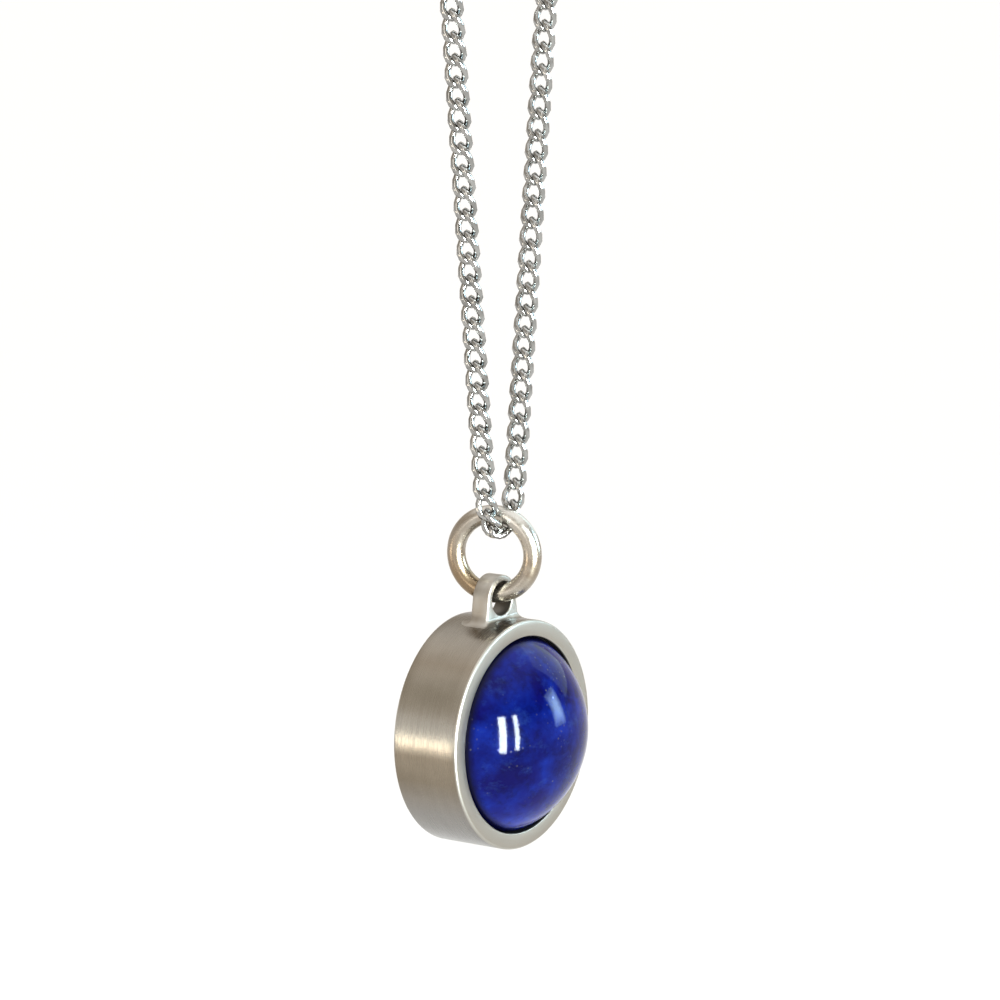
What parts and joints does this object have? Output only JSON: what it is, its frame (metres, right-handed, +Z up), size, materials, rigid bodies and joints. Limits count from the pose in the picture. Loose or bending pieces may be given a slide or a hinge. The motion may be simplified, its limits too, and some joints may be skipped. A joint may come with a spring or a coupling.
{
  "type": "pendant necklace",
  "caption": "Pendant necklace: domed blue stone in a turned steel case, jump ring, curb chain and lever clasp, hung doubled over a peg.",
  "frame": {"origin": "on the axis of the round peg that the chain hangs over, midway between its two strands", "axes": "+Z up, the stone faces -Y, and the two strands spread along X; +X is along the peg"},
  "size_m": [0.0224, 0.0201, 0.109],
  "materials": {
    "case_steel": "brushed around the case, with fine scratches",
    "satin_steel": "fine satin",
    "ring_steel": "soft polish on drawn wire",
    "chain_steel": "bright polish",
    "spring_steel": "drawn spring wire",
    "lapis": "polished deep blue stone with mottling and small gold flecks",
    "adhesive": "cured adhesive"
  },
  "bodies": {
    "chain": {"chain_saddle": "chain_steel", "left_strand": "chain_steel", "right_strand": "chain_steel", "left_coil": "chain_steel", "right_coil": "chain_steel", "left_tail": "chain_steel", "right_tail": "chain_steel"},
    "jump_ring": {"jump_ring": "ring_steel"},
    "pendant": {"case_ring": "case_steel", "back_plate": "case_steel", "seat_ring": "satin_steel", "adhesive_bed": "adhesive", "cabochon": "lapis", "hanging_lug": "satin_steel", "lug_braze": "satin_steel"},
    "end_ring": {"end_ring": "chain_steel"},
    "clasp": {"clasp_body": "chain_steel", "clasp_spring": "spring_steel", "clasp_rivet": "chain_steel"},
    "lever": {"clasp_lever": "chain_steel"},
    "clasp_ring": {"clasp_ring": "chain_steel"}
  },
  "joints": [
    {"name": "ring_swing", "type": "hinge", "parent": "chain", "child": "jump_ring", "pos_m": [0, -0.00626, -0.08271], "axis": [0.9563, 0.2924, 0], "range_deg": [-50, 50]},
    {"name": "pendant_swing", "type": "hinge", "parent": "jump_ring", "child": "pendant", "pos_m": [0, -0.00587, -0.08649], "axis": [0.2924, -0.9563, 0], "range_deg": [-50, 50]},
    {"name": "end_ring_turn", "type": "hinge", "parent": "chain", "child": "end_ring", "pos_m": [0.00167, 0.00626, -0.03328], "axis": [0.1462, 0, 0.9893], "range_deg": [-15, 15]},
    {"name": "clasp_turn", "type": "hinge", "parent": "chain", "child": "clasp", "pos_m": [0.00167, 0.00626, -0.03328], "axis": [0.1462, 0, 0.9893], "range_deg": [-10, 10]},
    {"name": "clasp_ring_turn", "type": "hinge", "parent": "chain", "child": "clasp_ring", "pos_m": [0.00167, 0.00626, -0.03328], "axis": [0.1462, 0, 0.9893], "range_deg": [-10, 10]},
    {"name": "clasp_lever_open", "type": "hinge", "parent": "clasp", "child": "lever", "pos_m": [0.00204, 0.00626, -0.03455], "axis": [0, -1, 0], "range_deg": [0, 22], "stiffness_Nm_per_rad": 0.004, "springref_deg": -11.46}
  ]
}
